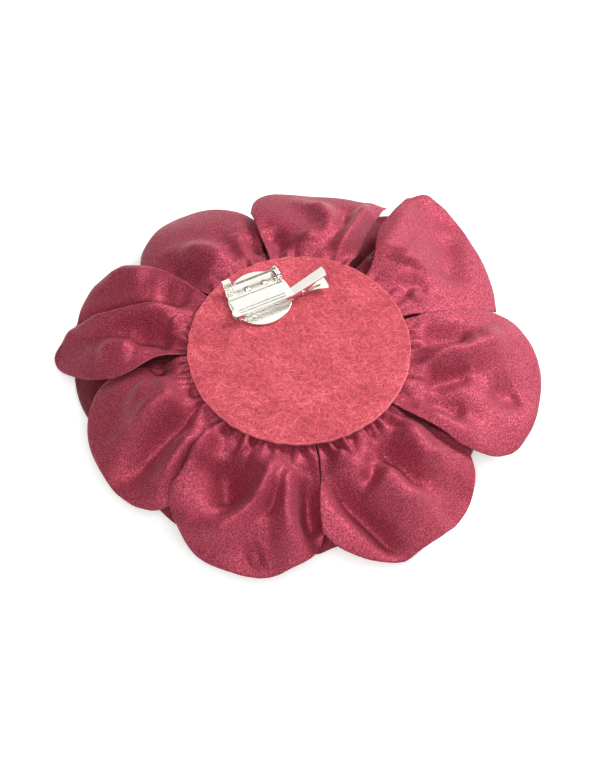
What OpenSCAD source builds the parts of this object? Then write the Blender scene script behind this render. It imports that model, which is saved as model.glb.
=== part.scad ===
// Fabric flower hair clip: three rings of gathered satin petals around a rolled bud,
// a felt back, and a metal finding that is both an alligator clip and a brooch pin.
// The flower lies face down: z = 0 is the bud's flat front, and the felt back faces up.
// The alligator clip runs along X, with its handle towards +X.

/* [Felt back] */
// Radius of the round felt back
felt_r = 41; // [36:0.5:50]
// Thickness of the felt
felt_t = 1.5; // [1:0.1:3]
// Height of the felt's outer face above the bud's front
back_h = 34; // [31:0.5:42]

/* [Petals] */
// Largest radius that the outer petals reach
flower_r = 92; // [76:1:112]
// Height of the outer petals' rims above the bud's front
outer_rim_h = 10; // [8:0.5:14]
// Largest radius that the middle petals reach
middle_r = 84; // [72:1:92]
// Height of the middle petals' rims
middle_rim_h = 6; // [4:0.5:7]
// Radius that the inner petals reach
inner_r = 46; // [42:1:56]
// Thickness of the outer petals' gathered root, between felt and card
outer_root_t = 2.5; // [1.8:0.1:3.2]
// Thickness of the middle and inner petals' gathered roots
inner_root_t = 1.6; // [1.2:0.1:2]
// Thickness of a petal past its root
petal_t = 0.9; // [0.6:0.1:1.2]
// How far a petal's edge stands over or under its neighbour's
overlap_lift = 2.5; // [2:0.1:3.2]

/* [Stiffeners and bud] */
// Radius of the card that the outer petals are glued on
card_r = 36; // [34:0.5:40]
// Thickness of the card
card_t = 1; // [0.6:0.1:1.5]
// Radius of the buckram disc in front of the card
buckram_r = 27; // [25.5:0.5:29]
// Thickness of the buckram disc
buckram_t = 1; // [0.6:0.1:1.5]
// Largest radius of the rolled bud
bud_r = 11.5; // [9:0.5:12]
// Radius of the bud's flat front
bud_face_r = 9; // [6:0.5:10]
// Radius of the gathering thread
thread_r = 0.3; // [0.15:0.05:0.35]

/* [Finding] */
// Radius of the finding's round base disc
disc_r = 12; // [11:0.25:14]
// Thickness of the base disc and of the bracket plate
sheet_t = 0.6; // [0.5:0.05:0.7]
// Thickness of the glue under the base disc
glue_t = 0.4; // [0.2:0.1:0.8]
// Base disc's centre, towards the clip's handle
disc_x = -4; // [-8:0.5:2]
// Base disc's centre, away from the flower's axis
disc_y = 25.3; // [14:0.1:27]
// Length of the bracket plate along the clip
plate_l = 21.5; // [20:0.5:25]
// Height that the plate's near half is stepped up to clear the lower rivet heads
plate_step = 0.5; // [0.4:0.05:0.8]

/* [Brooch pin] */
// Radius of the pin wire
wire_r = 0.45; // [0.35:0.05:0.5]
// Length from the pin's hinge to its point
pin_l = 21.2; // [19:0.1:24]
// Radius of the hinge rivet
rivet_r = 0.5; // [0.4:0.05:0.6]
// Turns of wire around the hinge rivet
pin_turns = 4; // [3:1:4]

/* [Alligator clip] */
// Length from the clip's pivot to the tip of its upper jaw
jaw_l = 28; // [24:0.5:34]
// Width of the jaws
jaw_w = 3.4; // [3.2:0.1:4.4]
// Thickness of the jaws' sheet
arm_t = 0.5; // [0.4:0.05:0.6]
// Depth of the upper jaw's toothed flanges
flange_h = 1.55; // [1.4:0.05:2]
// Distance from one tooth to the next
tooth_pitch = 2.5; // [1.5:0.1:3.5]
// Length of the sloping upper handle
handle_l = 14.4; // [12.5:0.1:17]
// Width of the upper handle's end
handle_w = 4.2; // [3.6:0.1:5.5]
// Slope of the upper handle
handle_deg = 22.5; // [20:0.5:26]
// Width of the lower handle's end
lower_handle_w = 6.2; // [4:0.1:8]
// Radius of the hollow pivot pin
pivot_r = 0.65; // [0.55:0.05:0.75]

/* [Hidden] */
$fn = 64;

felt_colour = [0.79, 0.24, 0.33];
satin_colour = [0.58, 0.16, 0.28];
under_colour = [0.42, 0.10, 0.20];
card_colour = [0.86, 0.83, 0.78];
glue_colour = [0.90, 0.88, 0.80];
nickel_colour = [0.86, 0.85, 0.80];

run_gap = 0.06;   // between faces that slide on each other
side_gap = 0.1;   // between the lower arm's ears and the upper arm's
thread_gap = 0.3; // around a gathering thread

// Heights of the flower's stack, from the felt down to the bud's back
felt_bottom = back_h - felt_t;
card_top = felt_bottom - outer_root_t;
card_bottom = card_top - card_t;
buckram_top = card_bottom - inner_root_t;
buckram_bottom = buckram_top - buckram_t;

// Radii where each ring of petals starts
outer_root_r = card_r - 7;
middle_root_r = buckram_r - 2.4;
inner_root_r = bud_r + 2 * thread_r + 3 * thread_gap;
hem_r = 0.6; // how far a root stays flat past the disc it is glued to

// Angles of one petal's sides at its root and at its rim, its reach as a share of its
// ring's, how far the end of its rim rises, its corners' cutback, and which way each
// side is lifted: 1 over, -1 under.
// [root from, root to, rim from, rim to, reach, rise, cutback, cutback, lift, lift]
outer_petals = [
    [80.5, 118, 79, 119.5, 1, 0, 0.2, 0.22, -1, -1],
    [38.5, 79.5, 40.5, 80, 0.96, 0, 0.04, 0.22, 0.6, 1],
    [-3.5, 28, -5, 36, 1, 7, 0.12, -0.05, -1, 0.8],
    [-59.7, -6, -53, -6, 0.99, 0, 0.14, 0.17, 1, 1],
    [-106.3, -60.5, -109, -57, 0.93, 0, 0.18, 0.2, 1, -1],
    [-158.2, -107, -156, -107.5, 0.935, 0, 0.18, 0.21, 1, -1],
    [157.3, 201, 158, 207, 0.92, 0, 0.17, 0.15, -1, -1],
    [118.7, 156.5, 118, 162, 1.01, 0, 0.2, 0.26, 1, 1]
];
middle_petals = [
    [95.5, 134.5, 93, 137, 0.9, 0, 0.2, 0.2, 0.6, -0.6],
    [59, 94.5, 57, 97, 0.88, 0, 0.2, 0.2, 0.6, -0.6],
    [23.5, 58, 21, 60, 1, 0, 0.16, 0.16, 0.6, -0.6],
    [-21.5, 22.5, -24, 25, 0.9, 0, 0.2, 0.2, 0.6, -0.6],
    [-77.5, -22.5, -80, -20, 0.88, 0, 0.16, 0.16, 0.6, -0.6],
    [-131.5, -78.5, -134, -76, 0.86, 0, 0.12, 0.12, 0.6, -0.6],
    [-181.5, -132.5, -184, -130, 0.9, 0, 0.14, 0.14, 0.6, -0.6],
    [135.5, 177.5, 133, 180, 0.98, 0, 0.14, 0.14, 0.6, -0.6]
];
inner_petals = [
    for (k = [0:5])
        [60 * k + 15.5, 60 * k + 74.5, 60 * k + 11, 60 * k + 79, 1 - 0.04 * (k % 2), 0, 0.2, 0.2,
         0.6, -0.6]
];
inner_rim_h = 1.6; // the inner petals just clear the surface that the bud rests on

across = 10;       // steps from one side of a petal to the other
outer_along = 8;   // steps from an outer petal's root to its rim
inner_along = 6;
rim_curve = 2.6;   // how squarely a rim turns into its sides
outer_droop = 1.7; // how late an outer petal turns down
middle_droop = 1.25;
inner_droop = 1.05;
crown_h = 1.6;     // how far a petal billows up between its sides

// Heights of the finding, from the felt up
disc_bottom = back_h + glue_t;
plate_bottom = disc_bottom + sheet_t;
plate_top = plate_bottom + sheet_t;
step_bottom = plate_bottom + plate_step;
arm_bottom = step_bottom + sheet_t;
arm_top = arm_bottom + arm_t;
teeth_z = arm_top + run_gap;
jaw_under = teeth_z + flange_h;
jaw_top = jaw_under + arm_t;

// Plan of the finding
clip_y = disc_y - 5;
plate_x = disc_x - 11.2;
plate_near = clip_y - jaw_w / 2 - 0.2;
step_y = disc_y + 2.4;
plate_far = disc_y + 8.7;
pin_y = disc_y + 7.3;
hinge_x = disc_x + 9.6;
coil_swell = 0.03; // a wire is this much thicker where it is wound
coil_wire_r = wire_r + coil_swell;
coil_r = rivet_r + 0.08 + coil_wire_r;
hinge_z = plate_top + 0.12 + coil_r + coil_wire_r;
pin_z = hinge_z + coil_r;
coil_pitch = 1.8 * wire_r;
ear_t = 0.5;
ear_r = 1.3;
ear_gap = 0.25;
far_ear_y = pin_y + coil_wire_r + ear_gap;
near_ear_y = pin_y - coil_pitch * (pin_turns - 1) - coil_wire_r - ear_gap - ear_t;
rivet_head_r = 0.9;
rivet_head_t = 0.35;
point_l = 5; // the pin is ground to a long slim point, which lies in the catch
root_l = 2.2; // the wire tapers this far from the hinge
root_r = wire_r + coil_swell / 2;
catch_l = 3.2;
catch_t = 0.45;
catch_gap = 0.1;

// Alligator clip
pivot_x = disc_x + 14.7;
pivot_z = arm_top + 1.4;
tip_x = pivot_x - jaw_l;
bend_x = pivot_x - 3.7;
flange_t = 0.4;
tooth_h = 0.5;
upper_ear_r = 1.25;
lower_ear_r = 1.1;
neck_w = jaw_w - 2 * flange_t - 2 * side_gap;
lower_end_r = 10.3;
shank_r = 0.6;
dome_r = 1.3;
dome_h = 0.6;
clip_rivet_x = [tip_x + 8.3, tip_x + 16.3];
plate_rivet_x = [disc_x - 2.8, disc_x + 4];
plate_rivet_y = disc_y + 5.2;
spring_wire_r = 0.24;
spring_coil_r = 0.85;
spring_turns = 3;
spring_x = pivot_x + 3.5;
spring_z = pivot_z;
handle_end_x = bend_x + handle_l * cos(handle_deg);

function clamp01(x) = max(0, min(1, x));
function ease(a, b, x) = let (t = clamp01((x - a) / (b - a))) t * t * (3 - 2 * t);
function mix(a, b, t) = a + (b - a) * t;

// Radius of a petal's rim at u, which runs from -1 on one side to 1 on the other
function rim_r(p, reach, u) = reach * p[4] * (1 - (u < 0 ? p[6] : p[7]) * pow(abs(u), rim_curve));

// Radius of the grid line j of a petal; the first two lines are its flat root
function line_r(p, reach, root_r, flat_r, along, j, u) =
    j == 0 ? root_r : mix(flat_r, rim_r(p, reach, u), (j - 1) / (along - 1));

// Middle height of a petal at radius r: flat root, then the ring's own curve down to the
// rim, raised between its sides and lifted or lowered at them
function petal_z(p, reach, flat_r, root_z, rim_h, droop, r, u) =
    let (
        fall = pow(clamp01((r - flat_r) / (reach - flat_r)), droop),
        out = ease(flat_r, flat_r + 11, r),
        lift = overlap_lift * (u < 0 ? p[8] : p[9]) * pow(abs(u), 1.5),
        crown = crown_h * (1 - u * u) * (1 - fall)
    )
    mix(root_z, rim_h, fall) + out * (lift + crown) + p[5] * fall * (u + 1) / 2;

function petal_point(p, reach, flat_r, root_z, rim_h, droop, r, u, half) =
    let (
        wide = ease(flat_r + 4, flat_r + 24, r),
        a = mix(mix(p[0], p[1], (u + 1) / 2), mix(p[2], p[3], (u + 1) / 2), wide)
    )
    [r * cos(a), r * sin(a), petal_z(p, reach, flat_r, root_z, rim_h, droop, r, u) + half];

// A petal is a thin closed shell over a grid of points: its back, its front and its edge
module petal(p, reach, root_r, flat_r, top, root_t, rim_h, droop, along) {
    row = across + 1;
    count = row * (along + 1);
    function grid(side) = [
        for (j = [0:along])
            for (i = [0:across])
                let (
                    u = 2 * i / across - 1,
                    r = line_r(p, reach, root_r, flat_r, along, j, u),
                    half = side * (j < 2 ? root_t : petal_t) / 2
                )
                petal_point(p, reach, flat_r, top - root_t / 2, rim_h, droop, r, u, half)
    ];
    function pair(a, b, c, d) = [[a, b, c], [a, c, d]];
    function at(j, i) = j * row + i;
    faces = [
        for (j = [0:along - 1])
            for (i = [0:across - 1])
                each pair(at(j, i), at(j, i + 1), at(j + 1, i + 1), at(j + 1, i)),
        for (j = [0:along - 1])
            for (i = [0:across - 1])
                each pair(count + at(j + 1, i), count + at(j + 1, i + 1),
                          count + at(j, i + 1), count + at(j, i)),
        for (i = [0:across - 1])
            each pair(at(0, i + 1), at(0, i), count + at(0, i), count + at(0, i + 1)),
        for (i = [0:across - 1])
            each pair(at(along, i), at(along, i + 1),
                      count + at(along, i + 1), count + at(along, i)),
        for (j = [0:along - 1])
            each pair(at(j, 0), at(j + 1, 0), count + at(j + 1, 0), count + at(j, 0)),
        for (j = [0:along - 1])
            each pair(at(j + 1, across), at(j, across),
                      count + at(j, across), count + at(j + 1, across))
    ];
    polyhedron(concat(grid(1), grid(-1)), faces, convexity = 6);
}

// Outer petals are glued to the card's back and come out from under the felt
module outer_petal(k) {
    color(satin_colour)
        petal(outer_petals[k - 1], flower_r, outer_root_r, felt_r + hem_r, felt_bottom,
              outer_root_t, outer_rim_h, outer_droop, outer_along);
}

// Middle petals are glued to the card's front
module middle_petal(k) {
    color(under_colour)
        petal(middle_petals[k - 1], middle_r, middle_root_r, card_r + hem_r, card_bottom,
              inner_root_t, middle_rim_h, middle_droop, inner_along);
}

// Inner petals are glued to the buckram's front
module inner_petal(k) {
    color(under_colour)
        petal(inner_petals[k - 1], inner_r, inner_root_r, buckram_r + hem_r, buckram_bottom,
              inner_root_t, inner_rim_h, inner_droop, inner_along);
}

module disc(r, z, t) {
    translate([0, 0, z]) cylinder(r = r, h = t);
}

module felt_backing() {
    color(felt_colour) disc(felt_r, felt_bottom, felt_t);
}

// Glue between the felt and the card, inside the petals' roots
module back_glue() {
    color(glue_colour) disc(outer_root_r - 2 * (thread_r + thread_gap), card_top, outer_root_t);
}

module card_stiffener() {
    color(card_colour) disc(card_r, card_bottom, card_t);
}

// Glue between the card and the buckram
module core_glue() {
    color(glue_colour) disc(middle_root_r - 2 * (thread_r + thread_gap), buckram_top, inner_root_t);
}

module buckram_disc() {
    color(card_colour) disc(buckram_r, buckram_bottom, buckram_t);
}

// A strip of satin rolled up, wider at its waist than at its front
module rolled_bud() {
    color(satin_colour)
        rotate_extrude()
            polygon([
                [0, 0], [bud_face_r, 0], [bud_face_r + 1.2, 1], [bud_r - 0.4, 4], [bud_r, 8],
                [bud_r - 0.3, 13], [bud_r - 1.2, 19], [bud_r - 1.8, buckram_bottom],
                [0, buckram_bottom]
            ]);
}

// The thread that draws a ring of petals together, lying inside their roots
module gather_thread(root_r, z) {
    color(satin_colour)
        translate([0, 0, z])
            rotate_extrude()
                translate([root_r - thread_gap - thread_r, 0])
                    circle(r = thread_r);
}

module outer_thread() {
    gather_thread(outer_root_r, felt_bottom - outer_root_t / 2);
}

module middle_thread() {
    gather_thread(middle_root_r, card_bottom - inner_root_t / 2);
}

module inner_thread() {
    gather_thread(inner_root_r, buckram_bottom - inner_root_t / 2);
}

module finding_glue() {
    color(glue_colour)
        translate([disc_x, disc_y, 0])
            disc(disc_r - 1.5, back_h, glue_t);
}

module base_disc() {
    color(nickel_colour)
        difference() {
            translate([disc_x, disc_y, 0]) disc(disc_r, disc_bottom, sheet_t);
            plate_rivet_holes();
        }
}

module plate_rivet_holes() {
    for (x = plate_rivet_x)
        translate([x, plate_rivet_y, disc_bottom - 1])
            cylinder(r = shank_r, h = 3);
}

module clip_rivet_holes() {
    for (x = clip_rivet_x)
        translate([x, clip_y, plate_bottom - 1])
            cylinder(r = shank_r, h = 4);
}

// Runs a YZ outline along X
module along_x(from, length) {
    translate([from, 0, 0])
        rotate([90, 0, 90])
            linear_extrude(length)
                children();
}

// Runs an XZ outline along Y
module along_y(from, length) {
    translate([0, from + length, 0])
        rotate([90, 0, 0])
            linear_extrude(length)
                children();
}

// One stamped sheet: the far half lies on the disc, and the near half is stepped up
module plate_sheet() {
    along_x(plate_x, plate_l)
        polygon([
            [plate_near, plate_bottom], [plate_near, arm_bottom], [step_y, arm_bottom],
            [step_y + 0.6, plate_top], [plate_far, plate_top], [plate_far, plate_bottom],
            [step_y + 0.2, plate_bottom], [step_y - 0.4, step_bottom],
            [plate_near + sheet_t, step_bottom], [plate_near + sheet_t, plate_bottom]
        ]);
}

// The catch is a folded trough, open at the top, with its far lip turned outwards
module pin_catch() {
    near = pin_y - wire_r - catch_gap - catch_t;
    far = pin_y + wire_r + catch_gap;
    floor_z = pin_z - wire_r - catch_gap;
    lip_z = pin_z + wire_r + 0.6;
    along_x(plate_x, catch_l)
        polygon([
            [near, plate_top - 0.1], [near, pin_z], [near + catch_t, pin_z],
            [near + catch_t, floor_z], [far, floor_z], [far, lip_z], [far + 2.1, lip_z],
            [far + 2.1, lip_z - catch_t], [far + catch_t, lip_z - catch_t],
            [far + catch_t, plate_top - 0.1]
        ]);
}

// The two ears hold the hinge rivet
module hinge_ear(y) {
    along_y(y, ear_t)
        difference() {
            union() {
                translate([hinge_x, hinge_z]) circle(r = ear_r);
                translate([hinge_x - ear_r, plate_top - 0.1])
                    square([2 * ear_r, hinge_z - plate_top + 0.1]);
            }
            translate([hinge_x, hinge_z]) circle(r = rivet_r);
        }
}

module bracket_plate() {
    color(nickel_colour) {
        difference() {
            plate_sheet();
            plate_rivet_holes();
            clip_rivet_holes();
        }
        pin_catch();
        hinge_ear(near_ear_y);
        hinge_ear(far_ear_y);
    }
}

module rivet_dome() {
    ball_r = (dome_r * dome_r + dome_h * dome_h) / (2 * dome_h);
    intersection() {
        translate([0, 0, dome_h - ball_r]) sphere(r = ball_r);
        cylinder(r = 2 * dome_r, h = dome_h + 1);
    }
}

// Two domed rivets hold the plate to the disc
module plate_rivets() {
    color(nickel_colour)
        for (x = plate_rivet_x)
            translate([x, plate_rivet_y, 0]) {
                translate([0, 0, disc_bottom]) cylinder(r = shank_r, h = plate_top - disc_bottom);
                translate([0, 0, plate_top]) rivet_dome();
            }
}

module hinge_rivet() {
    start = near_ear_y - rivet_head_t;
    reach = far_ear_y + ear_t - near_ear_y;
    color(nickel_colour)
        translate([hinge_x, start, hinge_z])
            rotate([-90, 0, 0]) {
                cylinder(r = rivet_head_r, h = rivet_head_t);
                cylinder(r = rivet_r, h = reach + 2 * rivet_head_t);
                translate([0, 0, reach + rivet_head_t]) cylinder(r = rivet_head_r, h = rivet_head_t);
            }
}

// Turns of wire lying side by side about the Y axis, from y = 0 towards -Y
module wire_coil(ring_r, r, turns, pitch) {
    rotate([90, 0, 0])
        rotate_extrude()
            for (k = [0:turns - 1])
                translate([ring_r, k * pitch])
                    circle(r = r);
}

// The wire is wound round the rivet, then runs straight to its ground point
module brooch_pin() {
    color(nickel_colour) {
        translate([hinge_x, pin_y, hinge_z])
            wire_coil(coil_r, coil_wire_r, pin_turns, coil_pitch);
        translate([hinge_x, pin_y, pin_z])
            rotate([0, -90, 0]) {
                cylinder(r1 = root_r, r2 = wire_r, h = root_l);
                translate([0, 0, root_l]) cylinder(r = wire_r, h = pin_l - point_l - root_l);
                translate([0, 0, pin_l - point_l]) cylinder(r1 = wire_r, r2 = 0.06, h = point_l);
            }
    }
}

// Plan of the lower arm: round tip, jaw, narrow neck at the pivot, and flared handle
module lower_arm_plan() {
    neck_from = bend_x + 1.3;
    neck_to = pivot_x + 2;
    end_x = pivot_x + lower_end_r;
    translate([tip_x + 0.4 + jaw_w / 2, 0]) circle(r = jaw_w / 2);
    translate([tip_x + 0.4 + jaw_w / 2, -jaw_w / 2])
        square([neck_from - tip_x - 0.4 - jaw_w / 2, jaw_w]);
    translate([neck_from - 0.1, -neck_w / 2]) square([neck_to - neck_from + 0.2, neck_w]);
    intersection() {
        polygon([
            [neck_to, -neck_w / 2], [neck_to, neck_w / 2], [neck_to + 3.6, neck_w / 2 + 0.4],
            [end_x, lower_handle_w / 2], [end_x, -lower_handle_w / 2],
            [neck_to + 3.6, -neck_w / 2 - 0.4]
        ]);
        translate([pivot_x, 0]) circle(r = lower_end_r);
    }
}

module lower_ear(y) {
    along_y(y, flange_t)
        difference() {
            union() {
                translate([pivot_x, pivot_z]) circle(r = lower_ear_r);
                translate([pivot_x - lower_ear_r, arm_top - 0.1])
                    square([2 * lower_ear_r, pivot_z - arm_top + 0.1]);
            }
            translate([pivot_x, pivot_z]) circle(r = pivot_r);
        }
}

module clip_lower_arm() {
    color(nickel_colour) {
        difference() {
            translate([0, clip_y, arm_bottom])
                linear_extrude(arm_t)
                    lower_arm_plan();
            clip_rivet_holes();
        }
        lower_ear(clip_y - neck_w / 2);
        lower_ear(clip_y + neck_w / 2 - flange_t);
    }
}

// Two rivets inside the jaw hold the clip's lower arm to the plate
module clip_rivets() {
    color(nickel_colour)
        for (x = clip_rivet_x)
            translate([x, clip_y, plate_bottom]) {
                cylinder(r = shank_r + 0.5, h = plate_step);
                cylinder(r = shank_r, h = arm_top - plate_bottom + 0.35);
                translate([0, 0, arm_top - plate_bottom]) cylinder(r = shank_r + 0.4, h = 0.35);
            }
}

// One toothed side of the upper jaw, which reaches back into a round ear at the pivot
module upper_flange(y) {
    teeth = floor((bend_x - tip_x - 1.2) / tooth_pitch);
    first = bend_x - teeth * tooth_pitch;
    roof = jaw_under + 0.1;
    rise = tan(handle_deg);
    back_x = pivot_x + 5.6;
    along_y(y, flange_t)
        difference() {
            union() {
                polygon([
                    [first, roof],
                    for (k = [0:teeth - 1]) each [
                        [first + k * tooth_pitch, teeth_z + tooth_h],
                        [first + (k + 0.5) * tooth_pitch, teeth_z]
                    ],
                    [bend_x, teeth_z + tooth_h], [pivot_x - 0.5, pivot_z - 0.9],
                    [pivot_x + 1, pivot_z - 0.5],
                    [back_x, jaw_under + (back_x - bend_x) * rise - 0.5],
                    [back_x, roof + (back_x - bend_x) * rise],
                    [bend_x, roof]
                ]);
                translate([pivot_x, pivot_z]) circle(r = upper_ear_r);
            }
            translate([pivot_x, pivot_z]) circle(r = pivot_r + run_gap);
        }
}

module upper_plan() {
    half = jaw_w / 2;
    translate([tip_x + half, 0]) circle(r = half);
    translate([tip_x + half, -half]) square([bend_x - tip_x - half, jaw_w]);
}

// Plan of the sloping handle, which widens to a rounded end
module handle_plan() {
    intersection() {
        polygon([
            [0, -jaw_w / 2], [0, jaw_w / 2], [handle_l, handle_w / 2], [handle_l, -handle_w / 2]
        ]);
        translate([handle_l - 7, 0]) circle(r = 7);
    }
    polygon([
        [0, -jaw_w / 2], [0, jaw_w / 2], [handle_l - 5, handle_w / 2 - 0.2],
        [handle_l - 5, 0.2 - handle_w / 2]
    ]);
}

module clip_upper_arm() {
    color(nickel_colour) {
        translate([0, clip_y, jaw_under])
            linear_extrude(arm_t)
                upper_plan();
        translate([bend_x, clip_y, jaw_under])
            rotate([0, -handle_deg, 0])
                linear_extrude(arm_t)
                    handle_plan();
        upper_flange(clip_y - jaw_w / 2);
        upper_flange(clip_y + jaw_w / 2 - flange_t);
    }
}

// A hollow pin with turned-over ends, which the upper arm turns on
module clip_pivot() {
    head_t = 0.25;
    reach = jaw_w + 2 * run_gap;
    color(nickel_colour)
        translate([pivot_x, clip_y - reach / 2 - head_t, pivot_z])
            rotate([-90, 0, 0])
                difference() {
                    union() {
                        cylinder(r = pivot_r + 0.3, h = head_t);
                        cylinder(r = pivot_r, h = reach + 2 * head_t);
                        translate([0, 0, reach + head_t]) cylinder(r = pivot_r + 0.3, h = head_t);
                    }
                    translate([0, 0, -1]) cylinder(r = pivot_r - 0.25, h = reach + 4);
                }
}

// A straight piece of spring wire between two points of the XZ plane
module spring_leg(x1, z1, x2, z2, y) {
    translate([x1, y, z1])
        rotate([0, atan2(x2 - x1, z2 - z1), 0])
            cylinder(r = spring_wire_r, h = norm([x2 - x1, z2 - z1]));
}

// A torsion spring behind the pivot, with one leg along each handle
module clip_spring() {
    pitch = 1.84 * spring_wire_r;
    side_y = pitch * (spring_turns - 1) / 2;
    end_x = spring_x + 4.6;
    end_z = jaw_under + (end_x - bend_x) * tan(handle_deg) - spring_wire_r / cos(handle_deg) - 0.15;
    color(nickel_colour) {
        translate([spring_x, clip_y + side_y, spring_z])
            wire_coil(spring_coil_r, spring_wire_r + coil_swell, spring_turns, pitch);
        spring_leg(spring_x, spring_z - spring_coil_r, spring_x + 4,
                   arm_top + spring_wire_r + 0.02, clip_y - side_y);
        spring_leg(spring_x - 0.5, spring_z + spring_coil_r - 0.17, end_x, end_z, clip_y + side_y);
    }
}

felt_backing();
back_glue();
card_stiffener();
core_glue();
buckram_disc();
outer_petal(1);  // outer_petal_1
outer_petal(2);  // outer_petal_2
outer_petal(3);  // outer_petal_3
outer_petal(4);  // outer_petal_4
outer_petal(5);  // outer_petal_5
outer_petal(6);  // outer_petal_6
outer_petal(7);  // outer_petal_7
outer_petal(8);  // outer_petal_8
middle_petal(1);  // middle_petal_1
middle_petal(2);  // middle_petal_2
middle_petal(3);  // middle_petal_3
middle_petal(4);  // middle_petal_4
middle_petal(5);  // middle_petal_5
middle_petal(6);  // middle_petal_6
middle_petal(7);  // middle_petal_7
middle_petal(8);  // middle_petal_8
inner_petal(1);  // inner_petal_1
inner_petal(2);  // inner_petal_2
inner_petal(3);  // inner_petal_3
inner_petal(4);  // inner_petal_4
inner_petal(5);  // inner_petal_5
inner_petal(6);  // inner_petal_6
rolled_bud();
outer_thread();
middle_thread();
inner_thread();
finding_glue();
base_disc();
bracket_plate();
plate_rivets();
hinge_rivet();
brooch_pin();
clip_lower_arm();
clip_rivets();
clip_upper_arm();
clip_pivot();
clip_spring();
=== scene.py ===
import math
import random

import bmesh
import bpy
import numpy as np
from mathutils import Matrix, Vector
from mathutils.bvhtree import BVHTree


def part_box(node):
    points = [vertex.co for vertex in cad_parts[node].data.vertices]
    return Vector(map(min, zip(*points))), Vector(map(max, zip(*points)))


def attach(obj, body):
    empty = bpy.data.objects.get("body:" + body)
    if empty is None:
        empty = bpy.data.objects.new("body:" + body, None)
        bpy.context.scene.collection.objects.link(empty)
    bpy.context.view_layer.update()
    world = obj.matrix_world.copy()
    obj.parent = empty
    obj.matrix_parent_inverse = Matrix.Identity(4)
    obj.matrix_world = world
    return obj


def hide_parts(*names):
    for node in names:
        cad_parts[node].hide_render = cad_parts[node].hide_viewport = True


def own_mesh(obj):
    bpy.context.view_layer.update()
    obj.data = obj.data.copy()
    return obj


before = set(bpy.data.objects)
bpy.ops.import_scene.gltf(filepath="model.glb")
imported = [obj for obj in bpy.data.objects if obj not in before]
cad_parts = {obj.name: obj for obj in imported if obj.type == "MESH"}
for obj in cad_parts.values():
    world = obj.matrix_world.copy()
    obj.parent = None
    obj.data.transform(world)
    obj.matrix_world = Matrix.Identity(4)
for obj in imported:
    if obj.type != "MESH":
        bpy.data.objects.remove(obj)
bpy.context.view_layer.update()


# ---------------------------------------------------------------------------
# Rolled bud: the middle of the flower's front, which the clip's wearer shows.
# One long strip of crimson satin, folded double, rolled up and stitched at its back.
# ---------------------------------------------------------------------------
MM = 0.001
SATIN_CLOTH = 0.35  # thickness of the satin with its backing, in mm


def low_high(node):
    """A CAD node's corners in mm."""
    low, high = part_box(node)
    return np.array(low) / MM, np.array(high) / MM


def ease(start, end, x):
    t = np.clip((x - start) / (end - start), 0, 1)
    return t * t * (3 - 2 * t)


def mix(a, b, t):
    return a + (b - a) * t


def cloth_mesh(name, x, y, z):
    """A sheet over a grid of points in mm, rows first."""
    rows, columns = x.shape
    points = np.stack([x, y, z], axis=-1).reshape(-1, 3) * MM
    faces = [
        (j * columns + i, j * columns + i + 1, (j + 1) * columns + i + 1, (j + 1) * columns + i)
        for j in range(rows - 1)
        for i in range(columns - 1)
    ]
    mesh = bpy.data.meshes.new(name)
    mesh.from_pydata(points.tolist(), [], faces)
    mesh.polygons.foreach_set("use_smooth", [True] * len(faces))
    mesh.update()
    return mesh


def place(name, mesh, materials, body="flower"):
    """A piece made from a mesh, with its materials, riding on a body."""
    piece = bpy.data.objects.new(name, mesh)
    bpy.context.scene.collection.objects.link(piece)
    for material in materials:
        mesh.materials.append(material)
    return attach(piece, body)


def thicken(piece, thickness):
    """Gives a sheet its thickness, with the second material on its cut edge."""
    cloth = piece.modifiers.new("cloth thickness", "SOLIDIFY")
    cloth.thickness = thickness * MM
    cloth.offset = 0
    cloth.material_offset_rim = len(piece.data.materials) - 1
    return piece


def new_material(name, roughness=0.5):
    material = bpy.data.materials.new(name)
    material.use_nodes = True
    shader = material.node_tree.nodes["Principled BSDF"]
    shader.inputs["Roughness"].default_value = roughness
    return material, material.node_tree, shader


def noise_node(tree, scale, detail, stretch=(1, 1, 1)):
    """Noise over the object's own coordinates, stretched along an axis where wanted."""
    place_node = tree.nodes.new("ShaderNodeTexCoord")
    stretch_node = tree.nodes.new("ShaderNodeMapping")
    stretch_node.inputs["Scale"].default_value = stretch
    noise = tree.nodes.new("ShaderNodeTexNoise")
    noise.inputs["Scale"].default_value = scale
    noise.inputs["Detail"].default_value = detail
    tree.links.new(place_node.outputs["Object"], stretch_node.inputs["Vector"])
    tree.links.new(stretch_node.outputs["Vector"], noise.inputs["Vector"])
    return noise


def ramp_node(tree, source, stops):
    ramp = tree.nodes.new("ShaderNodeValToRGB")
    ramp.color_ramp.elements[0].position = stops[0][0]
    ramp.color_ramp.elements[0].color = (*stops[0][1], 1)
    ramp.color_ramp.elements[1].position = stops[-1][0]
    ramp.color_ramp.elements[1].color = (*stops[-1][1], 1)
    for position, colour in stops[1:-1]:
        ramp.color_ramp.elements.new(position).color = (*colour, 1)
    tree.links.new(source, ramp.inputs["Fac"])
    return ramp


def bump(tree, shader, sources, distance):
    """Bumps from one or more noises, each on top of the last."""
    below = None
    for source, strength in sources:
        node = tree.nodes.new("ShaderNodeBump")
        node.inputs["Strength"].default_value = strength
        node.inputs["Distance"].default_value = distance * MM
        tree.links.new(source, node.inputs["Height"])
        if below is not None:
            tree.links.new(below.outputs["Normal"], node.inputs["Normal"])
        below = node
    tree.links.new(below.outputs["Normal"], shader.inputs["Normal"])


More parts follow.
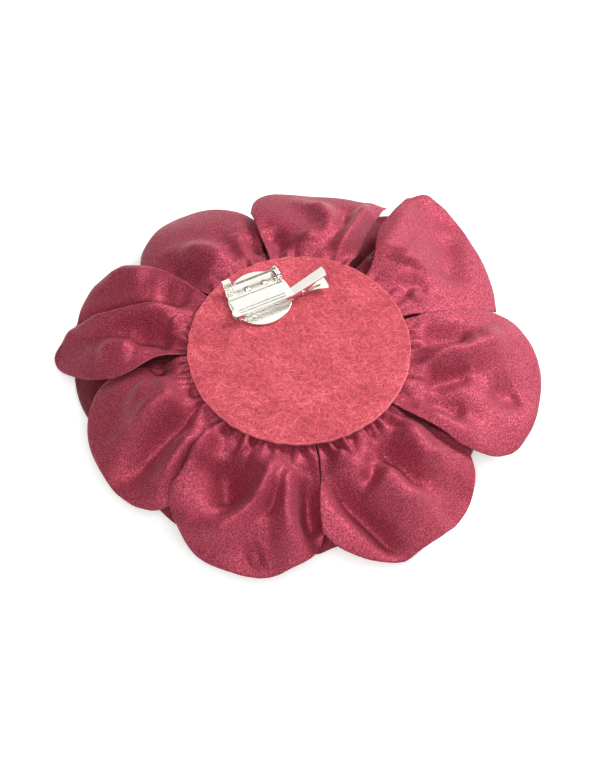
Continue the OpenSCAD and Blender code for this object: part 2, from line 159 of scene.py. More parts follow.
def satin(name, dark, light):
    """Crimson satin: a tinted, silky shine, broken up by a fine speckle of raised threads."""
    material, tree, shader = new_material(name)
    speckle = noise_node(tree, 2100, 2)
    cloud = noise_node(tree, 160, 3)
    colour = ramp_node(tree, speckle.outputs["Fac"], [(0.42, dark), (0.68, light)])
    rough = tree.nodes.new("ShaderNodeMapRange")
    rough.inputs["From Min"].default_value = 0.35
    rough.inputs["From Max"].default_value = 0.65
    rough.inputs["To Min"].default_value = 0.76
    rough.inputs["To Max"].default_value = 0.56
    tree.links.new(speckle.outputs["Fac"], rough.inputs["Value"])
    tree.links.new(rough.outputs["Result"], shader.inputs["Roughness"])
    tree.links.new(colour.outputs["Color"], shader.inputs["Base Color"])
    shader.inputs["Metallic"].default_value = 0.5
    shader.inputs["Specular IOR Level"].default_value = 0.6
    shader.inputs["Sheen Weight"].default_value = 0.07
    shader.inputs["Sheen Roughness"].default_value = 0.35
    shader.inputs["Sheen Tint"].default_value = (0.95, 0.62, 0.66, 1)
    bump(tree, shader, [(speckle.outputs["Fac"], 0.8), (cloud.outputs["Fac"], 0.12)], 0.16)
    return material


satin_back = satin("satin back", (0.225, 0.017, 0.039), (0.52, 0.070, 0.118))
satin_edge, edge_tree, edge_shader = new_material("cut satin edge", 0.7)
edge_noise = noise_node(edge_tree, 900, 2)
edge_colour = ramp_node(edge_tree, edge_noise.outputs["Fac"],
                        [(0.35, (0.07, 0.028, 0.036)), (0.65, (0.17, 0.075, 0.09))])
edge_tree.links.new(edge_colour.outputs["Color"], edge_shader.inputs["Base Color"])

bud_low, bud_high = low_high("rolled_bud")
bud_turns = 4.5
bud_steps = 420
bud_rows = 14
bud_core_r = 0.9     # mm from the middle to where the strip starts
bud_top_r = 9.0
bud_waist_r = 10.9
bud_inset = 0.3      # mm that the outermost turn keeps inside the CAD bud
bud_flare = 1.1      # mm that the stitched end is drawn in
bud_pucker = 0.22    # mm of pucker round the open end
bud_cloth = 0.8      # mm, the strip folded double
turn = np.linspace(0, 2 * math.pi * bud_turns, bud_steps)[None, :]
up = np.linspace(0, 1, bud_rows)[:, None]
roll = turn / turn.max()
bud_r = (bud_core_r
         + roll * (mix(bud_top_r, bud_waist_r, ease(0, 0.3, up)) - bud_core_r - bud_inset)
         - bud_flare * ease(0.55, 1, up) * roll)
bud_r = bud_r + bud_pucker * np.sin(7 * turn) * roll * (1 - up)
bud_low_edge = bud_low[2] + 0.35 + 2.6 * (1 - roll) ** 2 + 0.25 * (1 + np.sin(5.3 * turn))
bud_z = mix(bud_low_edge, bud_high[2] - bud_inset, up + 0 * turn)
bud_mesh = cloth_mesh("rolled_bud_satin", bud_r * np.cos(turn), bud_r * np.sin(turn), bud_z)
bud = thicken(place("rolled_bud_satin", bud_mesh, [satin_back, satin_edge]), bud_cloth)
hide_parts("rolled_bud")


# ---------------------------------------------------------------------------
# Petals: three rings of satin petals, each cut from cloth, heat-curled at its edge and
# gathered by a running stitch at its root, so that small pleats fan out from there.
# The inner ring is stitched and glued round the bud on the buckram disc.
# ---------------------------------------------------------------------------
PETAL_ROWS = 78      # steps from root to rim
PLEAT_GAP = 3.6      # mm between gathers where they leave the disc
OVERLAP_LIFT = 2.5   # mm that a petal's side is lifted over or under its neighbour
CROWN = 1.6          # mm that a petal's middle stands over its sides
RIDGE_SHARE = 1.4    # how much taller ridges, and deeper hollows, are than their tables say
HOLLOW_SHARE = 1.35
GATHER_LENGTHS = (5, 6, 8, 9, 12, 15)  # mm that small pleats run out from the disc
SWELLS = 6           # long, shallow waves that cross a petal
SWELL_H = 0.12       # mm
RUFFLE_W = 9         # mm in from the rim that its ruffle fades over
CURL_H = 0.9         # mm that the heated rim curls under, and over what width
CURL_W = 2.2
RIM_PLACES = (-1, -0.9, -0.7, -0.4, 0, 0.4, 0.7, 0.9, 1)  # where a petal's rim is given


def polar(angle, radius):
    a = math.radians(angle)
    return np.array([radius * math.cos(a), radius * math.sin(a)])


def fold_height(x, y, height, width, points):
    """A ridge or a hollow along a line of (angle, radius) points, fading at both ends."""
    line = [polar(*p) for p in points]
    lengths = [np.linalg.norm(b - a) for a, b in zip(line, line[1:])]
    total = sum(lengths)
    nearest = np.full(x.shape, 1e9)
    along = np.zeros(x.shape)
    before = 0
    for a, b, length in zip(line, line[1:], lengths):
        t = np.clip(((x - a[0]) * (b[0] - a[0]) + (y - a[1]) * (b[1] - a[1])) / length**2, 0, 1)
        d = np.hypot(x - a[0] - t * (b[0] - a[0]), y - a[1] - t * (b[1] - a[1]))
        closer = d < nearest
        nearest = np.where(closer, d, nearest)
        along = np.where(closer, (before + t * length) / total, along)
        before += length
    fade = 0.35 + 0.65 * ease(0, 0.3, along) * ease(0, 0.3, 1 - along)
    return height * fade * np.exp(-((nearest / width) ** 2))


def smooth_through(u, places, values):
    """A smooth curve through values at places, with each slope taken from its neighbours."""
    places, values = np.array(places, float), np.array(values, float)
    slopes = np.gradient(values, places)
    k = np.clip(np.searchsorted(places, u, side="right") - 1, 0, len(places) - 2)
    step = places[k + 1] - places[k]
    t = (u - places[k]) / step
    start = values[k] * (1 + 2 * t) * (1 - t) ** 2 + slopes[k] * step * t * (1 - t) ** 2
    end = values[k + 1] * t**2 * (3 - 2 * t) - slopes[k + 1] * step * t**2 * (1 - t)
    return start + end


def petal_grid(ring, petal, seed):
    """Points of a petal in mm: the ring's droop, then its folds, gathers, swells and rim."""
    draw = random.Random(seed)
    root_from, root_to, rim_from, rim_to = petal["sides"]
    middle_arc = math.radians(root_to - root_from) * ring["flat_r"]
    columns = max(48, int(middle_arc * ring["fineness"]))
    u = np.linspace(-1, 1, columns)[None, :]
    v = np.linspace(0, 1, ring["rows"])[:, None]
    rim = smooth_through(u, RIM_PLACES, petal["rim"])
    r = ring["root_r"] + (rim - ring["root_r"]) * v
    wide = ease(ring["flat_r"] + petal.get("narrow", 4), ring["flat_r"] + 24, r)
    share = (u + 1) / 2
    angle = mix(mix(root_from, root_to, share), mix(rim_from, rim_to, share), wide)
    a = np.radians(angle)
    x, y = r * np.cos(a), r * np.sin(a)

    fall = np.clip((r - ring["flat_r"]) / (ring["reach"] - ring["flat_r"]), 0, 1) ** ring["droop"]
    out = ease(ring["flat_r"], ring["flat_r"] + 11, r)
    side = np.where(u < 0, petal["lift"][0], petal["lift"][1]) * np.abs(u) ** 1.5
    z = mix(ring["root_z"], ring["rim_h"], fall) + petal.get("rise", 0) * fall * share
    z = z + out * (OVERLAP_LIFT * side + CROWN * (1 - u**2) * (1 - fall))
    free = ease(ring["flat_r"] - 1, ring["flat_r"] + 9, r)
    for height, width, points in petal.get("folds", ()):
        strength = RIDGE_SHARE if height > 0 else HOLLOW_SHARE
        z = z + strength * free * fold_height(x, y, height, width, points)

    gathers, depth_share = petal.get("gathers", (int(middle_arc / PLEAT_GAP), 0.8))
    for k in range(gathers):
        centre = mix(root_from, root_to, (k + 0.5 + draw.uniform(-0.45, 0.45)) / gathers)
        drift = draw.uniform(-0.32, 0.32)
        length = draw.choice(GATHER_LENGTHS)
        depth = draw.uniform(0.5, 1.8) * depth_share
        start_w = draw.uniform(0.6, 1.7)
        ahead = np.clip(r - ring["flat_r"], 0, None)
        aside = np.radians(angle - centre) * r - drift * ahead
        width = start_w + 0.11 * ahead
        fade = 1 - ease(0.1 * length, length, ahead)
        z = z - depth * fade * np.exp(-np.abs(aside / width) ** 1.4)
        beside = 1.9 * width * (1 if draw.random() < 0.5 else -1)
        z = z + 0.7 * depth * fade * np.exp(-(((aside - beside) / width) ** 2))
    for _ in range(SWELLS):
        heading = draw.uniform(0, 2 * math.pi)
        wave = draw.uniform(24, 40)
        phase = draw.uniform(0, 2 * math.pi)
        along = x * math.cos(heading) + y * math.sin(heading)
        z = z + SWELL_H * out * np.sin(2 * math.pi * along / wave + phase)
    to_rim = rim - r
    waves = draw.uniform(1.5, 2.6)
    start = draw.uniform(0, 2 * math.pi)
    ruffle = ring["ruffle"] * np.exp(-to_rim / RUFFLE_W)
    z = z + ruffle * out * np.sin(waves * math.pi * u + start)
    z = z - CURL_H * np.exp(-to_rim / CURL_W) * out
    z = np.maximum(z, SATIN_CLOTH)
    return x, y, z


def make_petal(node, ring, petal, seed):
    x, y, z = petal_grid(ring, petal, seed)
    mesh = cloth_mesh(node + "_satin", x, y, z)
    piece = thicken(place(node + "_satin", mesh, [ring["satin"], satin_edge]), SATIN_CLOTH)
    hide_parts(node)
    return piece


# A darker copy of the same satin for the inner and middle rings: painted shade, because they lie
# on the flower's underside and under the outer petals.
satin_painted_shade = satin("satin painted shade", (0.15, 0.009, 0.022), (0.29, 0.022, 0.046))
buckram_low, buckram_high = low_high("buckram_disc")
card_low, card_high = low_high("card_stiffener")
felt_low, felt_high = low_high("felt_backing")
# Each ring's radii and heights are in mm: flat_r is where a petal leaves its disc, and reach
# is where its droop ends. Fineness is the columns of points for each mm of arc.
inner_ring = {
    "root_r": 13.0, "flat_r": buckram_high[0] + 0.6, "root_z": buckram_low[2] - 0.8, "reach": 46,
    "rim_h": 1.9, "droop": 1.05, "rows": 48, "fineness": 1.7, "ruffle": 0.9,
    "satin": satin_painted_shade, "on": "buckram_disc",
}
for k in range(6):
    full = inner_ring["reach"] * (1 - 0.04 * (k % 2))
    inner_petal = {
        "sides": (60 * k + 15.5, 60 * k + 74.5, 60 * k + 11, 60 * k + 79),
        "rim": [full * (1 - 0.2 * abs(place) ** 2.6) for place in RIM_PLACES],
        "lift": (0.6, -0.6),
    }
    make_petal(f"inner_petal_{k + 1}", inner_ring, inner_petal, 300 + k)

# The outer petals one by one. Sides are [root from, root to, rim from, rim to] in degrees,
# rims are radii in mm, and folds are (height in mm, width in mm, [(angle in degrees, radius
# in mm), ...]). The middle ring lies in the same hollows, so this table comes before it.
outer_petals = [
    {
        "sides": (80.5, 118, 79, 119.5), "lift": (-1, -1), "gathers": (6, 0.7),
        "rim": (72, 77, 83.5, 90.5, 92, 87.5, 82.5, 76, 70),
        "folds": [
            (3.4, 5.5, [(99, 44), (100, 51), (103, 58), (108, 69)]),
            (3.0, 4.5, [(89, 44), (88, 54), (86, 63)]),
            (-3.2, 4.0, [(84, 45), (85, 53), (85, 60)]),
            (-2.6, 4.0, [(94, 46), (94, 58)]),
            (-2.8, 4.5, [(114, 47), (114, 60), (113, 68)]),
        ],
    },
    {
        "sides": (38.5, 79.5, 40.5, 80), "lift": (0.6, 1), "gathers": (5, 0.6),
        "rim": (87, 86, 84.5, 84.5, 86, 86.5, 84, 78, 71),
        "folds": [
            (-4.4, 4.5, [(70, 44), (74, 52), (77, 60)]),
            (4.4, 3.4, [(46, 46), (44.5, 57), (43.8, 82)]),
            (-4.6, 3.6, [(38.5, 45), (38.5, 60), (39.5, 76)]),
            (3.4, 4.5, [(64, 76), (58, 71), (53, 63), (49, 52)]),
            (-3.0, 4.0, [(50, 48), (49, 60), (49, 72)]),
            (2.4, 4.0, [(60, 49), (60, 55)]),
        ],
    },
    {
        "sides": (-3.5, 28, -5, 36), "lift": (-1, 0.8), "rise": 7, "narrow": 1,
        "gathers": (5, 0.6),
        "rim": (81, 82, 84.5, 87.6, 91.5, 95.8, 97.5, 96, 90),
        "folds": [
            (4.0, 7.0, [(17, 55), (22, 62)]),
            (-3.4, 4.0, [(11, 45), (9, 53), (4, 57)]),
            (2.6, 3.0, [(4, 47), (5, 52), (9, 50)]),
            (-3.4, 7.0, [(25, 86), (15, 76), (6, 66)]),
            (2.4, 5.0, [(28, 48), (31, 66), (34, 88)]),
        ],
    },
    {
        "sides": (-59.7, -6, -58, -6), "lift": (0.7, 0.6), "gathers": (12, 1.0),
        "rim": (67, 75.5, 83.5, 88, 90.5, 91.5, 88.5, 83.5, 77),
        "folds": [
            (-5.2, 5.5, [(-16, 45), (-18, 55), (-19, 66)]),
            (5.0, 5.5, [(-31, 46), (-27, 56), (-20, 70), (-15, 80)]),
            (-5.4, 4.6, [(-42, 46), (-36, 54), (-29, 64)]),
            (-4.0, 6.5, [(-33, 70), (-34, 76), (-31, 82)]),
            (-5.0, 5.0, [(-49, 48), (-47.5, 55), (-46, 66)]),
            (2.4, 4.0, [(-55, 50), (-54, 62), (-53, 74)]),
        ],
    },
    {
        "sides": (-106.3, -60.5, -109, -56), "lift": (1, -0.6), "gathers": (13, 1.2),
        "rim": (71, 75, 79.5, 83.6, 84.6, 83.2, 80, 75.5, 71),
        "folds": [
            (-6.0, 4.6, [(-80, 44), (-79, 53), (-77, 65), (-73.5, 71)]),
            (4.8, 5.0, [(-66.5, 46), (-67, 54), (-68, 62), (-63, 71)]),
            (-7.0, 4.4, [(-105, 52), (-99, 63), (-93.5, 72), (-89, 84)]),
            (5.5, 7.5, [(-86, 54), (-83, 66), (-80.5, 78)]),
            (-4.0, 3.2, [(-84, 48), (-88, 57), (-94, 60)]),
            (4.4, 3.4, [(-100, 51), (-96, 46)]),
            (-3.0, 6.0, [(-63, 76), (-70, 80), (-78, 82)]),
        ],
    },
    {
        "sides": (-158.2, -107, -156, -107.5), "lift": (1, -1), "gathers": (10, 1.2),
        "rim": (70, 74, 78.5, 83.5, 85, 83.6, 79.5, 74, 68),
        "folds": [
            (-9.0, 7.0, [(-147, 50), (-142, 58), (-138, 66)]),
            (5.6, 4.2, [(-130, 44), (-126, 55), (-129, 65), (-137, 75), (-146, 77)]),
            (-3.6, 2.6, [(-123, 52), (-124.5, 62), (-131, 71)]),
            (5.6, 4.2, [(-117.5, 47), (-118, 57), (-119, 66), (-117.5, 80)]),
            (-8.0, 4.4, [(-114.5, 50), (-113, 62), (-110.5, 71)]),
            (4.0, 3.0, [(-157, 44), (-156, 51), (-155, 60)]),
            (3.0, 3.0, [(-141, 44), (-139, 46)]),
            (-2.8, 5.0, [(-125, 76), (-129, 80)]),
        ],
    },
    {
        "sides": (157.3, 201, 158, 207), "lift": (-1, -1), "gathers": (12, 1.1),
        "rim": (69, 73, 77.6, 81.6, 83, 82.4, 80, 76.5, 72),
        "folds": [
            (-5.0, 4.4, [(190, 45), (189.5, 56), (191, 70), (190.5, 80)]),
            (4.4, 4.6, [(183, 46), (183, 58), (182, 72)]),
            (-4.6, 4.4, [(163, 54), (158, 48)]),
            (5.5, 8.0, [(169, 65), (176, 58), (176.5, 46)]),
            (4.4, 4.6, [(197, 48), (200, 60), (201, 74)]),
            (-3.0, 3.5, [(204, 50), (205, 62), (205, 70)]),
        ],
    },
    {
        "sides": (118.7, 156.5, 118, 162), "lift": (1, 1), "gathers": (8, 1.0),
        "rim": (72, 80, 87, 90.5, 90, 93.5, 85, 76, 68),
        "folds": [
            (-6.0, 2.8, [(128.5, 45), (132, 56), (136, 75), (137, 88)]),
            (6.0, 3.6, [(133, 46), (137, 56), (141, 74), (142, 90)]),
            (3.6, 5.5, [(123, 66), (123, 80), (128, 86)]),
            (-3.4, 4.0, [(122, 46), (125, 54), (127, 62)]),
            (-5.6, 4.6, [(146.5, 64), (147.5, 52), (150, 45)]),
            (3.4, 3.0, [(140, 49), (142, 45)]),
            (4.2, 5.0, [(151, 76), (153, 60)]),
        ],
    },
]

# The middle ring is glued to the card stiffener's front; it fills the gaps between the outer
# petals, and it takes the darker satin copy, painted shade for where it lies under them.
middle_ring = {
    "root_r": 24.6, "flat_r": card_high[0] + 0.6, "root_z": card_low[2] - 0.8, "reach": 84,
    "rim_h": 6, "droop": 1.25, "rows": 56, "fineness": 1.8, "ruffle": 1.0,
    "satin": satin_painted_shade, "on": "card_stiffener",
}
# [root from, root to, rim from, rim to], in degrees, and the rim's radii in mm
middle_petals = [
    (95.5, 134.5, 93, 137, (60, 66, 71, 75, 76, 75, 71, 66, 60)),
    (59, 94.5, 57, 97, (60, 65, 70, 73, 74, 73, 70, 65, 60)),
    (23.5, 58, 21, 60, (78, 83, 88, 91, 89, 84, 78, 72, 67)),
    (-21.5, 22.5, -24, 25, (62, 66, 71, 75, 76, 75, 71, 66, 62)),
    (-77.5, -22.5, -80, -20, (62, 66, 69, 71, 71, 70, 67, 64, 60)),
    (-131.5, -78.5, -134, -76, (62, 66, 69, 71.5, 71.5, 71, 69, 65, 61)),
    (-181.5, -132.5, -184, -130, (66, 69, 72, 74, 74.5, 74.5, 73, 69, 64)),
    (135.5, 177.5, 133, 180, (78, 82, 85.5, 86.5, 84, 80, 76, 72, 68)),
]
hollows = [fold for petal in outer_petals for fold in petal["folds"] if fold[0] < 0]
middle_folds = {
    3: [(3.0, 2.6, [(34, 46), (36, 56), (35, 66)]), (-2.5, 2.6, [(39, 46), (40, 62)])],
    8: [(-1.8, 4.0, [(158, 60), (158, 78)])],
}
for k, (root_from, root_to, rim_from, rim_to, rim) in enumerate(middle_petals):
    middle_petal = {
        "sides": (root_from, root_to, rim_from, rim_to),
        "rim": rim,
        "lift": (0.6, -0.6),
        "folds": middle_folds.get(k + 1, []) + hollows,
    }
    make_petal(f"middle_petal_{k + 1}", middle_ring, middle_petal, 200 + k)

# The outer ring is glued to the card's back and comes out from under the felt.
outer_ring = {
    "root_r": 29.0, "flat_r": felt_high[0] + 0.6, "root_z": (felt_low[2] + card_high[2]) / 2,
    "reach": 92, "rim_h": 10, "droop": 1.7, "rows": PETAL_ROWS, "fineness": 2.6,
    "ruffle": 0.7, "satin": satin_back, "on": "card_stiffener",
}
for k, petal in enumerate(outer_petals):
    make_petal(f"outer_petal_{k + 1}", outer_ring, petal, 100 + k)


# ---------------------------------------------------------------------------
# Threads, glue, card and buckram: what holds the petals. Waxed polyester gathering thread,
# clear hot glue, a grey-board disc and a stiffened muslin disc, all hidden in the finished
# clip, so each keeps its CAD shape and takes its own finish.
# ---------------------------------------------------------------------------
def finish_nodes(nodes, material):
    for node in nodes:
        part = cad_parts[node]
        part.data.materials.clear()
        part.data.materials.append(material)


thread, thread_tree, thread_shader = new_material("gathering thread", 0.6)
thread_twist = noise_node(thread_tree, 1500, 1)
thread_colour = ramp_node(thread_tree, thread_twist.outputs["Fac"],
                          [(0.3, (0.14, 0.012, 0.03)), (0.7, (0.26, 0.03, 0.06))])
thread_tree.links.new(thread_colour.outputs["Color"], thread_shader.inputs["Base Color"])
finish_nodes(["outer_thread", "middle_thread", "inner_thread"], thread)

glue, glue_tree, glue_shader = new_material("hot glue", 0.28)
glue_cloud = noise_node(glue_tree, 260, 2)
glue_colour = ramp_node(glue_tree, glue_cloud.outputs["Fac"],
                        [(0.3, (0.72, 0.67, 0.52)), (0.7, (0.84, 0.81, 0.70))])
glue_tree.links.new(glue_colour.outputs["Color"], glue_shader.inputs["Base Color"])
finish_nodes(["back_glue", "core_glue", "finding_glue"], glue)

card, card_tree, card_shader = new_material("grey board", 0.85)
card_fibre = noise_node(card_tree, 700, 4, (1, 3, 1))
card_colour = ramp_node(card_tree, card_fibre.outputs["Fac"],
                        [(0.3, (0.55, 0.51, 0.45)), (0.7, (0.72, 0.69, 0.62))])
card_tree.links.new(card_colour.outputs["Color"], card_shader.inputs["Base Color"])
finish_nodes(["card_stiffener"], card)

buckram, buckram_tree, buckram_shader = new_material("buckram", 0.9)
buckram_weave = noise_node(buckram_tree, 1100, 1)
buckram_colour = ramp_node(buckram_tree, buckram_weave.outputs["Fac"],
                           [(0.3, (0.62, 0.60, 0.55)), (0.7, (0.82, 0.80, 0.75))])
buckram_tree.links.new(buckram_colour.outputs["Color"], buckram_shader.inputs["Base Color"])
finish_nodes(["buckram_disc"], buckram)


# ---------------------------------------------------------------------------
# Felt backing: a disc cut with shears from 1.5 mm rose-red craft felt and glued over the
# petals' roots. Pressed fibres run every way over it, and its cut edge is a little furry.
# ---------------------------------------------------------------------------
def fibres(tree, direction, scale):
    """Long thin streaks that run one way over the felt."""
    streaks = noise_node(tree, scale, 3, (1, 8, 1))
    mapping = streaks.inputs["Vector"].links[0].from_node
    mapping.vector_type = "TEXTURE"
    mapping.inputs["Rotation"].default_value = (0, 0, math.radians(direction))
    return streaks.outputs["Fac"]


def felt_material(name, colours, strength):
    material, tree, shader = new_material(name, 0.92)
    layers = [fibres(tree, 20, 2900), fibres(tree, 75, 2700), fibres(tree, 140, 3100)]
    top = layers[0]
    for layer in layers[1:]:
        higher = tree.nodes.new("ShaderNodeMath")
        higher.operation = "MAXIMUM"
        tree.links.new(top, higher.inputs[0])
        tree.links.new(layer, higher.inputs[1])
        top = higher.outputs["Value"]
    cloud = noise_node(tree, 60, 4)
    shade = tree.nodes.new("ShaderNodeMath")
    shade.operation = "MULTIPLY_ADD"
    shade.inputs[1].default_value = 0.22
    tree.links.new(cloud.outputs["Fac"], shade.inputs[0])
    tree.links.new(top, shade.inputs[2])
    colour = ramp_node(tree, shade.outputs["Value"], colours)
    tree.links.new(colour.outputs["Color"], shader.inputs["Base Color"])
    shader.inputs["Sheen Weight"].default_value = 0.12
    shader.inputs["Sheen Roughness"].default_value = 0.6
    shader.inputs["Sheen Tint"].default_value = (1.0, 0.5, 0.55, 1)
    bump(tree, shader, [(top, strength)], 0.35)
    return material


felt_pressed = felt_material("pressed felt", [(0.56, (0.26, 0.022, 0.038)),
                                              (0.70, (0.45, 0.050, 0.072)),
                                              (0.88, (0.74, 0.16, 0.185))], 1.0)
felt_furry = felt_material("cut felt edge", [(0.56, (0.42, 0.05, 0.075)),
                                             (0.88, (0.76, 0.17, 0.20))], 0.8)
felt_r = felt_high[0]
felt_turns = 300
felt_mesh = bpy.data.meshes.new("felt_backing_cloth")
felt_shape = bmesh.new()
edge_round = 0.45    # mm that the shears leave round at the upper edge
edge_pull = 0.12     # mm that fraying takes off the edge
felt_press = 0.05    # mm that the pressed face lies under the CAD disc's
nap_h = 0.05         # mm of nap over the face
felt_profile = [(0.0, felt_high[2])]
felt_profile += [(r, felt_high[2]) for r in np.linspace(1.5, felt_r - edge_round - 0.6, 36)]
felt_profile += [
    (felt_r - edge_round + edge_round * math.sin(t), felt_high[2] - edge_round * (1 - math.cos(t)))
    for t in np.linspace(0, math.pi / 2, 5)
]
felt_profile += [(felt_r, felt_low[2] + 0.3), (felt_r - 0.3, felt_low[2] + 0.02)]
felt_profile += [(0.0, felt_low[2] + 0.02)]
felt_draw = random.Random(41)
felt_waves = [(felt_draw.randint(5, 60), felt_draw.uniform(0, 6.28), felt_draw.uniform(0.02, 0.06))
              for _ in range(12)]
felt_rings = []
for r, z in felt_profile:
    if r == 0:
        felt_rings.append([felt_shape.verts.new((0, 0, z * MM))])
        continue
    ring_points = []
    for i in range(felt_turns):
        t = 2 * math.pi * i / felt_turns
        near_edge = ease(felt_r - 4, felt_r, r)
        frayed = sum(size * math.sin(n * t + phase) for n, phase, size in felt_waves)
        nap = nap_h * math.sin(23.1 * math.sin(t) * r / 9) * math.sin(17.3 * math.cos(t) * r / 9)
        lift = nap if z > felt_high[2] - 0.2 else 0
        reach = r + near_edge * (frayed - edge_pull)
        ring_points.append(felt_shape.verts.new(
            (reach * math.cos(t) * MM, reach * math.sin(t) * MM, (z + lift - felt_press) * MM)))
    felt_rings.append(ring_points)
for inner, outer in zip(felt_rings, felt_rings[1:]):
    for i in range(felt_turns):
        j = (i + 1) % felt_turns
        if len(inner) == 1:
            felt_shape.faces.new((inner[0], outer[i], outer[j]))
        elif len(outer) == 1:
            felt_shape.faces.new((inner[i], outer[0], inner[j]))
        else:
            felt_shape.faces.new((inner[i], outer[i], outer[j], inner[j]))
bmesh.ops.recalc_face_normals(felt_shape, faces=felt_shape.faces)
for face in felt_shape.faces:
    face.smooth = True
    centre = face.calc_center_median() / MM
    face.material_index = int(math.hypot(centre.x, centre.y) > felt_r - edge_round - 0.2
                              and centre.z > felt_low[2] + 0.1)
felt_shape.to_mesh(felt_mesh)
felt_shape.free()
felt = place("felt_backing_cloth", felt_mesh, [felt_pressed, felt_furry])
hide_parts("felt_backing")


# ---------------------------------------------------------------------------
# Metal finding: nickel-plated steel disc, bracket, brooch pin and alligator clip, stamped
# from sheet and riveted together. Every sheet part is the CAD part with its edges broken; the pin
# and spring wire are plain copies.
# ---------------------------------------------------------------------------
def nickel_material(name, colours, roughness):
    material, tree, shader = new_material(name, roughness)
    shader.inputs["Metallic"].default_value = 1
    wear = noise_node(tree, 240, 3)
    colour = ramp_node(tree, wear.outputs["Fac"], colours)
    tree.links.new(colour.outputs["Color"], shader.inputs["Base Color"])
    scratches = noise_node(tree, 900, 2, (1, 9, 1))
    bump(tree, shader, [(scratches.outputs["Fac"], 0.025)], 0.05)
    return material


nickel = nickel_material("nickel plate", [(0.3, (0.85, 0.82, 0.75)), (0.7, (0.92, 0.90, 0.85))],
                         0.26)
wire_nickel = nickel_material("nickel wire",
                              [(0.3, (0.70, 0.64, 0.52)), (0.7, (0.80, 0.75, 0.66))], 0.2)


def stamped(node, body, width, material):
    """A copy of a metal CAD part in its own finish, with its sharp edges broken when a width is
    given.
    """
    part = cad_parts[node]
    mesh = part.data.copy()
    mesh.materials.clear()
    piece = place(node + "_metal", mesh, [material], body)
    weld = piece.modifiers.new("joined corners", "WELD")
    weld.merge_threshold = 0.002 * MM
    if width:
        edge = piece.modifiers.new("broken edge", "BEVEL")
        edge.width = width * MM
        edge.segments = 2
        edge.limit_method = "ANGLE"
        edge.angle_limit = math.radians(35)
        edge.use_clamp_overlap = True
    for face in mesh.polygons:
        face.use_smooth = False
    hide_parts(node)
    return piece


stamped("base_disc", "flower", 0.12, nickel)
stamped("bracket_plate", "flower", 0.08, nickel)
stamped("plate_rivets", "flower", 0.05, nickel)
stamped("hinge_rivet", "flower", 0.05, nickel)
stamped("brooch_pin", "pin", 0, wire_nickel)
stamped("clip_lower_arm", "flower", 0.07, nickel)
stamped("clip_rivets", "flower", 0.05, nickel)
stamped("clip_upper_arm", "jaw", 0.07, nickel)
stamped("clip_pivot", "flower", 0.05, nickel)
spring = stamped("clip_spring", "flower", 0, wire_nickel)
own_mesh(spring)

# Two stiffening beads pressed along the back of the upper jaw, up to where the handle bends
upper_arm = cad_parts["clip_upper_arm"]
arm_low, arm_high = low_high("clip_upper_arm")
arm_y = (arm_low[1] + arm_high[1]) / 2
arm_faces = BVHTree.FromPolygons([upper_arm.matrix_world @ v.co for v in upper_arm.data.vertices],
                                 [face.vertices for face in upper_arm.data.polygons])


def top_of_arm(x, y):
    point, _, _, _ = arm_faces.ray_cast(Vector((x * MM, y * MM, 0.1)), Vector((0, 0, -1)))
    return point.z / MM


bead_w = 0.48
bead_h = 0.2
bead_sink = 0.03
bead_gap = 1.24      # mm between the two beads' middles
bead_steps = np.linspace(0, 1, 90)
bead_x = mix(arm_low[0] + 2.2, arm_high[0] - 15.7, bead_steps)
bead_swell = np.sqrt(ease(0, 0.03, bead_steps) * ease(0, 0.03, 1 - bead_steps))
bead_turn = np.linspace(0, math.pi, 9)[:, None]
for side, bead_y in (("left", arm_y + bead_gap / 2), ("right", arm_y - bead_gap / 2)):
    bead_z = np.array([top_of_arm(x, bead_y) for x in bead_x])
    bead_mesh = cloth_mesh(
        "clip_upper_arm_bead_" + side,
        bead_x[None, :] + 0 * bead_turn,
        bead_y + bead_w / 2 * bead_swell[None, :] * np.cos(bead_turn),
        bead_z[None, :] - bead_sink + bead_h * bead_swell[None, :] * np.sin(bead_turn),
    )
    bead = place("clip_upper_arm_bead_" + side, bead_mesh, [nickel], "jaw")


# ---------------------------------------------------------------------------
# Setting: white paper under a window on the right, a softer light over the front on the
# left, and a card behind that the metal mirrors. The camera looks down at the flower's back.
# ---------------------------------------------------------------------------
floor_mesh = bpy.data.meshes.new("floor")
paper = 20  # metres from the middle to each side
floor_mesh.from_pydata([(-paper, -paper, 0), (paper, -paper, 0), (paper, paper, 0),
                        (-paper, paper, 0)], [], [(0, 1, 2, 3)])
floor = bpy.data.objects.new("floor", floor_mesh)
bpy.context.scene.collection.objects.link(floor)
floor_paint, floor_tree, floor_shader = new_material("white paper", 0.9)
floor_shader.inputs["Base Color"].default_value = (0.80, 0.805, 0.80, 1)
floor_shader.inputs["Emission Color"].default_value = (0.97, 1.0, 0.985, 1)
floor_shader.inputs["Emission Strength"].default_value = 0.40
floor_shader.inputs["Specular IOR Level"].default_value = 0.1
floor_mesh.materials.append(floor_paint)

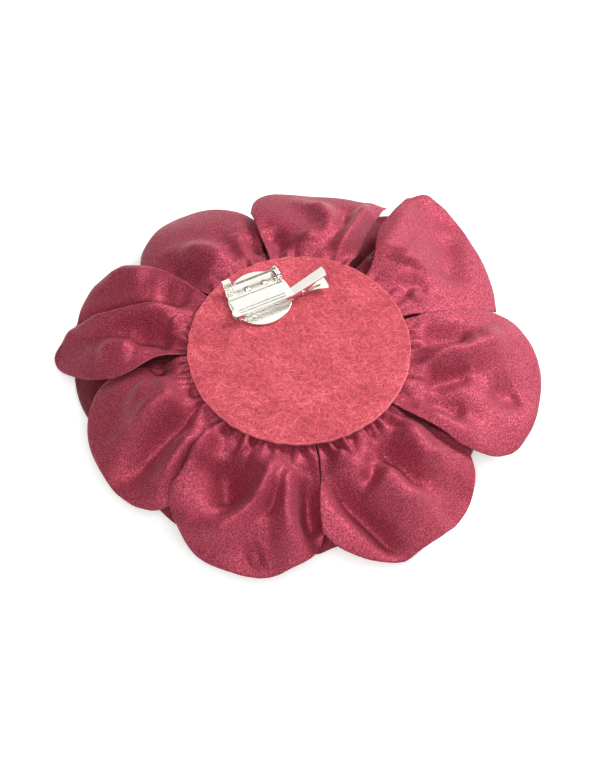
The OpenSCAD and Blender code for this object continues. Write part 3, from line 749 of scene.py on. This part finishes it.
world = bpy.data.worlds.new("white studio")
world.use_nodes = True
sky = world.node_tree.nodes["Background"]
sky_place = world.node_tree.nodes.new("ShaderNodeTexCoord")
sky_height = world.node_tree.nodes.new("ShaderNodeSeparateXYZ")
world.node_tree.links.new(sky_place.outputs["Generated"], sky_height.inputs["Vector"])
sky_colour = ramp_node(world.node_tree, sky_height.outputs["Z"],
                       [(0.0, (0.95, 0.95, 0.95)), (0.04, (0.8, 0.8, 0.8)),
                        (0.12, (0.09, 0.08, 0.07)), (0.5, (0.09, 0.085, 0.08)),
                        (0.85, (0.14, 0.14, 0.14))])
world.node_tree.links.new(sky_colour.outputs["Color"], sky.inputs["Color"])
sky.inputs["Strength"].default_value = 1.0
bpy.context.scene.world = world
bpy.context.scene.view_settings.view_transform = "Standard"


def softbox(name, azimuth, elevation, distance, size, power):
    """A light of (width, height) aimed at the clip; azimuth 0 is behind it, 90 on its right."""
    a, e = math.radians(azimuth), math.radians(elevation)
    light = bpy.data.lights.new(name, "AREA")
    light.shape = "RECTANGLE"
    light.size, light.size_y = size
    light.energy = power
    lamp = bpy.data.objects.new(name, light)
    away = Vector((math.sin(a) * math.cos(e), math.cos(a) * math.cos(e), math.sin(e)))
    lamp.location = away * distance
    lamp.rotation_euler = away.to_track_quat("Z", "Y").to_euler()
    bpy.context.scene.collection.objects.link(lamp)


softbox("window", 84, 40, 0.85, (0.36, 0.36), 8.9)
softbox("overhead", 200, 58, 1.0, (0.45, 0.45), 8.0)
softbox("back card", 0, 60, 1.0, (1.1, 0.45), 1.8)

camera_azimuth = math.radians(-25.5)
camera_elevation = math.radians(58.3)
camera_distance = 600  # mm
shift_right = 0.37
shift_up = -14.4
right = Vector((math.cos(camera_azimuth), math.sin(camera_azimuth), 0))
back = Vector((math.sin(camera_azimuth) * math.cos(camera_elevation),
               -math.cos(camera_azimuth) * math.cos(camera_elevation),
               math.sin(camera_elevation)))
above = back.cross(right)
camera = bpy.data.objects.new("camera", bpy.data.cameras.new("camera"))
camera.data.sensor_fit = "HORIZONTAL"
camera.data.lens = 98.5
camera.location = (Vector((0, 0, felt_high[2])) + camera_distance * back + shift_right * right
                   + shift_up * above) * MM
camera.rotation_euler = back.to_track_quat("Z", "Y").to_euler()
camera.data.clip_start = 0.01
bpy.context.scene.collection.objects.link(camera)
bpy.context.scene.camera = camera
